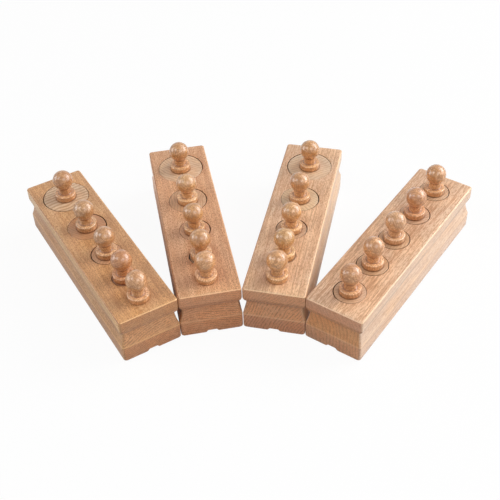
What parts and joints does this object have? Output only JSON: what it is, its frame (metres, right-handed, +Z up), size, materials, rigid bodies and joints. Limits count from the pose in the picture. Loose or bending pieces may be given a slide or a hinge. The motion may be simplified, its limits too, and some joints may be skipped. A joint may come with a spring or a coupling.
{
  "type": "knobbed cylinder block",
  "caption": "Wooden knobbed cylinder blocks fanned out, each with graded lift-out cylinders that sit in matching sockets and carry a turned ball knob.",
  "frame": {"origin": "on the surface that the blocks stand on, at the centre of the fanned set's outline", "axes": "+Z up, out of the blocks' tops; +Y from the near ends, which all but touch, to the spread far ends; +X to the right, from block_a to block_d"},
  "size_m": [0.4298, 0.2486, 0.0782],
  "materials": {
    "block_a": "clear satin lacquer on warm tan beech",
    "block_b": "clear satin lacquer on reddish beech",
    "block_c": "clear satin lacquer on pale pinkish beech",
    "block_d": "clear satin lacquer on pale, darkly flecked beech",
    "cylinder": "clear satin lacquer, end grain on top",
    "knob": "clear gloss lacquer, turned"
  },
  "bodies": {
    "block_a": {"block_a": "block_a"},
    "block_b": {"block_b": "block_b"},
    "block_c": {"block_c": "block_c"},
    "block_d": {"block_d": "block_d"},
    "cylinder_a1": {"cylinder_a1": "cylinder", "knob_a1": "knob"},
    "cylinder_a2": {"cylinder_a2": "cylinder", "knob_a2": "knob"},
    "cylinder_a3": {"cylinder_a3": "cylinder", "knob_a3": "knob"},
    "cylinder_a4": {"cylinder_a4": "cylinder", "knob_a4": "knob"},
    "cylinder_a5": {"cylinder_a5": "cylinder", "knob_a5": "knob"},
    "cylinder_b1": {"cylinder_b1": "cylinder", "knob_b1": "knob"},
    "cylinder_b2": {"cylinder_b2": "cylinder", "knob_b2": "knob"},
    "cylinder_b3": {"cylinder_b3": "cylinder", "knob_b3": "knob"},
    "cylinder_b4": {"cylinder_b4": "cylinder", "knob_b4": "knob"},
    "cylinder_b5": {"cylinder_b5": "cylinder", "knob_b5": "knob"},
    "cylinder_c1": {"cylinder_c1": "cylinder", "knob_c1": "knob"},
    "cylinder_c2": {"cylinder_c2": "cylinder", "knob_c2": "knob"},
    "cylinder_c3": {"cylinder_c3": "cylinder", "knob_c3": "knob"},
    "cylinder_c4": {"cylinder_c4": "cylinder", "knob_c4": "knob"},
    "cylinder_c5": {"cylinder_c5": "cylinder", "knob_c5": "knob"},
    "cylinder_d1": {"cylinder_d1": "cylinder", "knob_d1": "knob"},
    "cylinder_d2": {"cylinder_d2": "cylinder", "knob_d2": "knob"},
    "cylinder_d3": {"cylinder_d3": "cylinder", "knob_d3": "knob"},
    "cylinder_d4": {"cylinder_d4": "cylinder", "knob_d4": "knob"},
    "cylinder_d5": {"cylinder_d5": "cylinder", "knob_d5": "knob"}
  },
  "joints": [
    {"name": "slide_a", "type": "slide", "parent": "block_b", "child": "block_a", "axis": [-0.5299, 0.848, 0], "range_m": [0, 0.12]},
    {"name": "slide_c", "type": "slide", "parent": "block_b", "child": "block_c", "axis": [0.1942, 0.981, 0], "range_m": [0, 0.12]},
    {"name": "slide_d", "type": "slide", "parent": "block_b", "child": "block_d", "axis": [0.5476, 0.8368, 0], "range_m": [0, 0.12]},
    {"name": "lift_a1", "type": "slide", "parent": "block_a", "child": "cylinder_a1", "axis": [0, 0, 1], "range_m": [0, 0.04]},
    {"name": "lift_a2", "type": "slide", "parent": "block_a", "child": "cylinder_a2", "axis": [0, 0, 1], "range_m": [0, 0.04]},
    {"name": "lift_a3", "type": "slide", "parent": "block_a", "child": "cylinder_a3", "axis": [0, 0, 1], "range_m": [0, 0.04]},
    {"name": "lift_a4", "type": "slide", "parent": "block_a", "child": "cylinder_a4", "axis": [0, 0, 1], "range_m": [0, 0.04]},
    {"name": "lift_a5", "type": "slide", "parent": "block_a", "child": "cylinder_a5", "axis": [0, 0, 1], "range_m": [0, 0.04]},
    {"name": "lift_b1", "type": "slide", "parent": "block_b", "child": "cylinder_b1", "axis": [0, 0, 1], "range_m": [0, 0.04]},
    {"name": "lift_b2", "type": "slide", "parent": "block_b", "child": "cylinder_b2", "axis": [0, 0, 1], "range_m": [0, 0.034]},
    {"name": "lift_b3", "type": "slide", "parent": "block_b", "child": "cylinder_b3", "axis": [0, 0, 1], "range_m": [0, 0.028]},
    {"name": "lift_b4", "type": "slide", "parent": "block_b", "child": "cylinder_b4", "axis": [0, 0, 1], "range_m": [0, 0.022]},
    {"name": "lift_b5", "type": "slide", "parent": "block_b", "child": "cylinder_b5", "axis": [0, 0, 1], "range_m": [0, 0.016]},
    {"name": "lift_c1", "type": "slide", "parent": "block_c", "child": "cylinder_c1", "axis": [0, 0, 1], "range_m": [0, 0.016]},
    {"name": "lift_c2", "type": "slide", "parent": "block_c", "child": "cylinder_c2", "axis": [0, 0, 1], "range_m": [0, 0.022]},
    {"name": "lift_c3", "type": "slide", "parent": "block_c", "child": "cylinder_c3", "axis": [0, 0, 1], "range_m": [0, 0.028]},
    {"name": "lift_c4", "type": "slide", "parent": "block_c", "child": "cylinder_c4", "axis": [0, 0, 1], "range_m": [0, 0.034]},
    {"name": "lift_c5", "type": "slide", "parent": "block_c", "child": "cylinder_c5", "axis": [0, 0, 1], "range_m": [0, 0.04]},
    {"name": "lift_d1", "type": "slide", "parent": "block_d", "child": "cylinder_d1", "axis": [0, 0, 1], "range_m": [0, 0.04]},
    {"name": "lift_d2", "type": "slide", "parent": "block_d", "child": "cylinder_d2", "axis": [0, 0, 1], "range_m": [0, 0.034]},
    {"name": "lift_d3", "type": "slide", "parent": "block_d", "child": "cylinder_d3", "axis": [0, 0, 1], "range_m": [0, 0.028]},
    {"name": "lift_d4", "type": "slide", "parent": "block_d", "child": "cylinder_d4", "axis": [0, 0, 1], "range_m": [0, 0.022]},
    {"name": "lift_d5", "type": "slide", "parent": "block_d", "child": "cylinder_d5", "axis": [0, 0, 1], "range_m": [0, 0.016]}
  ]
}
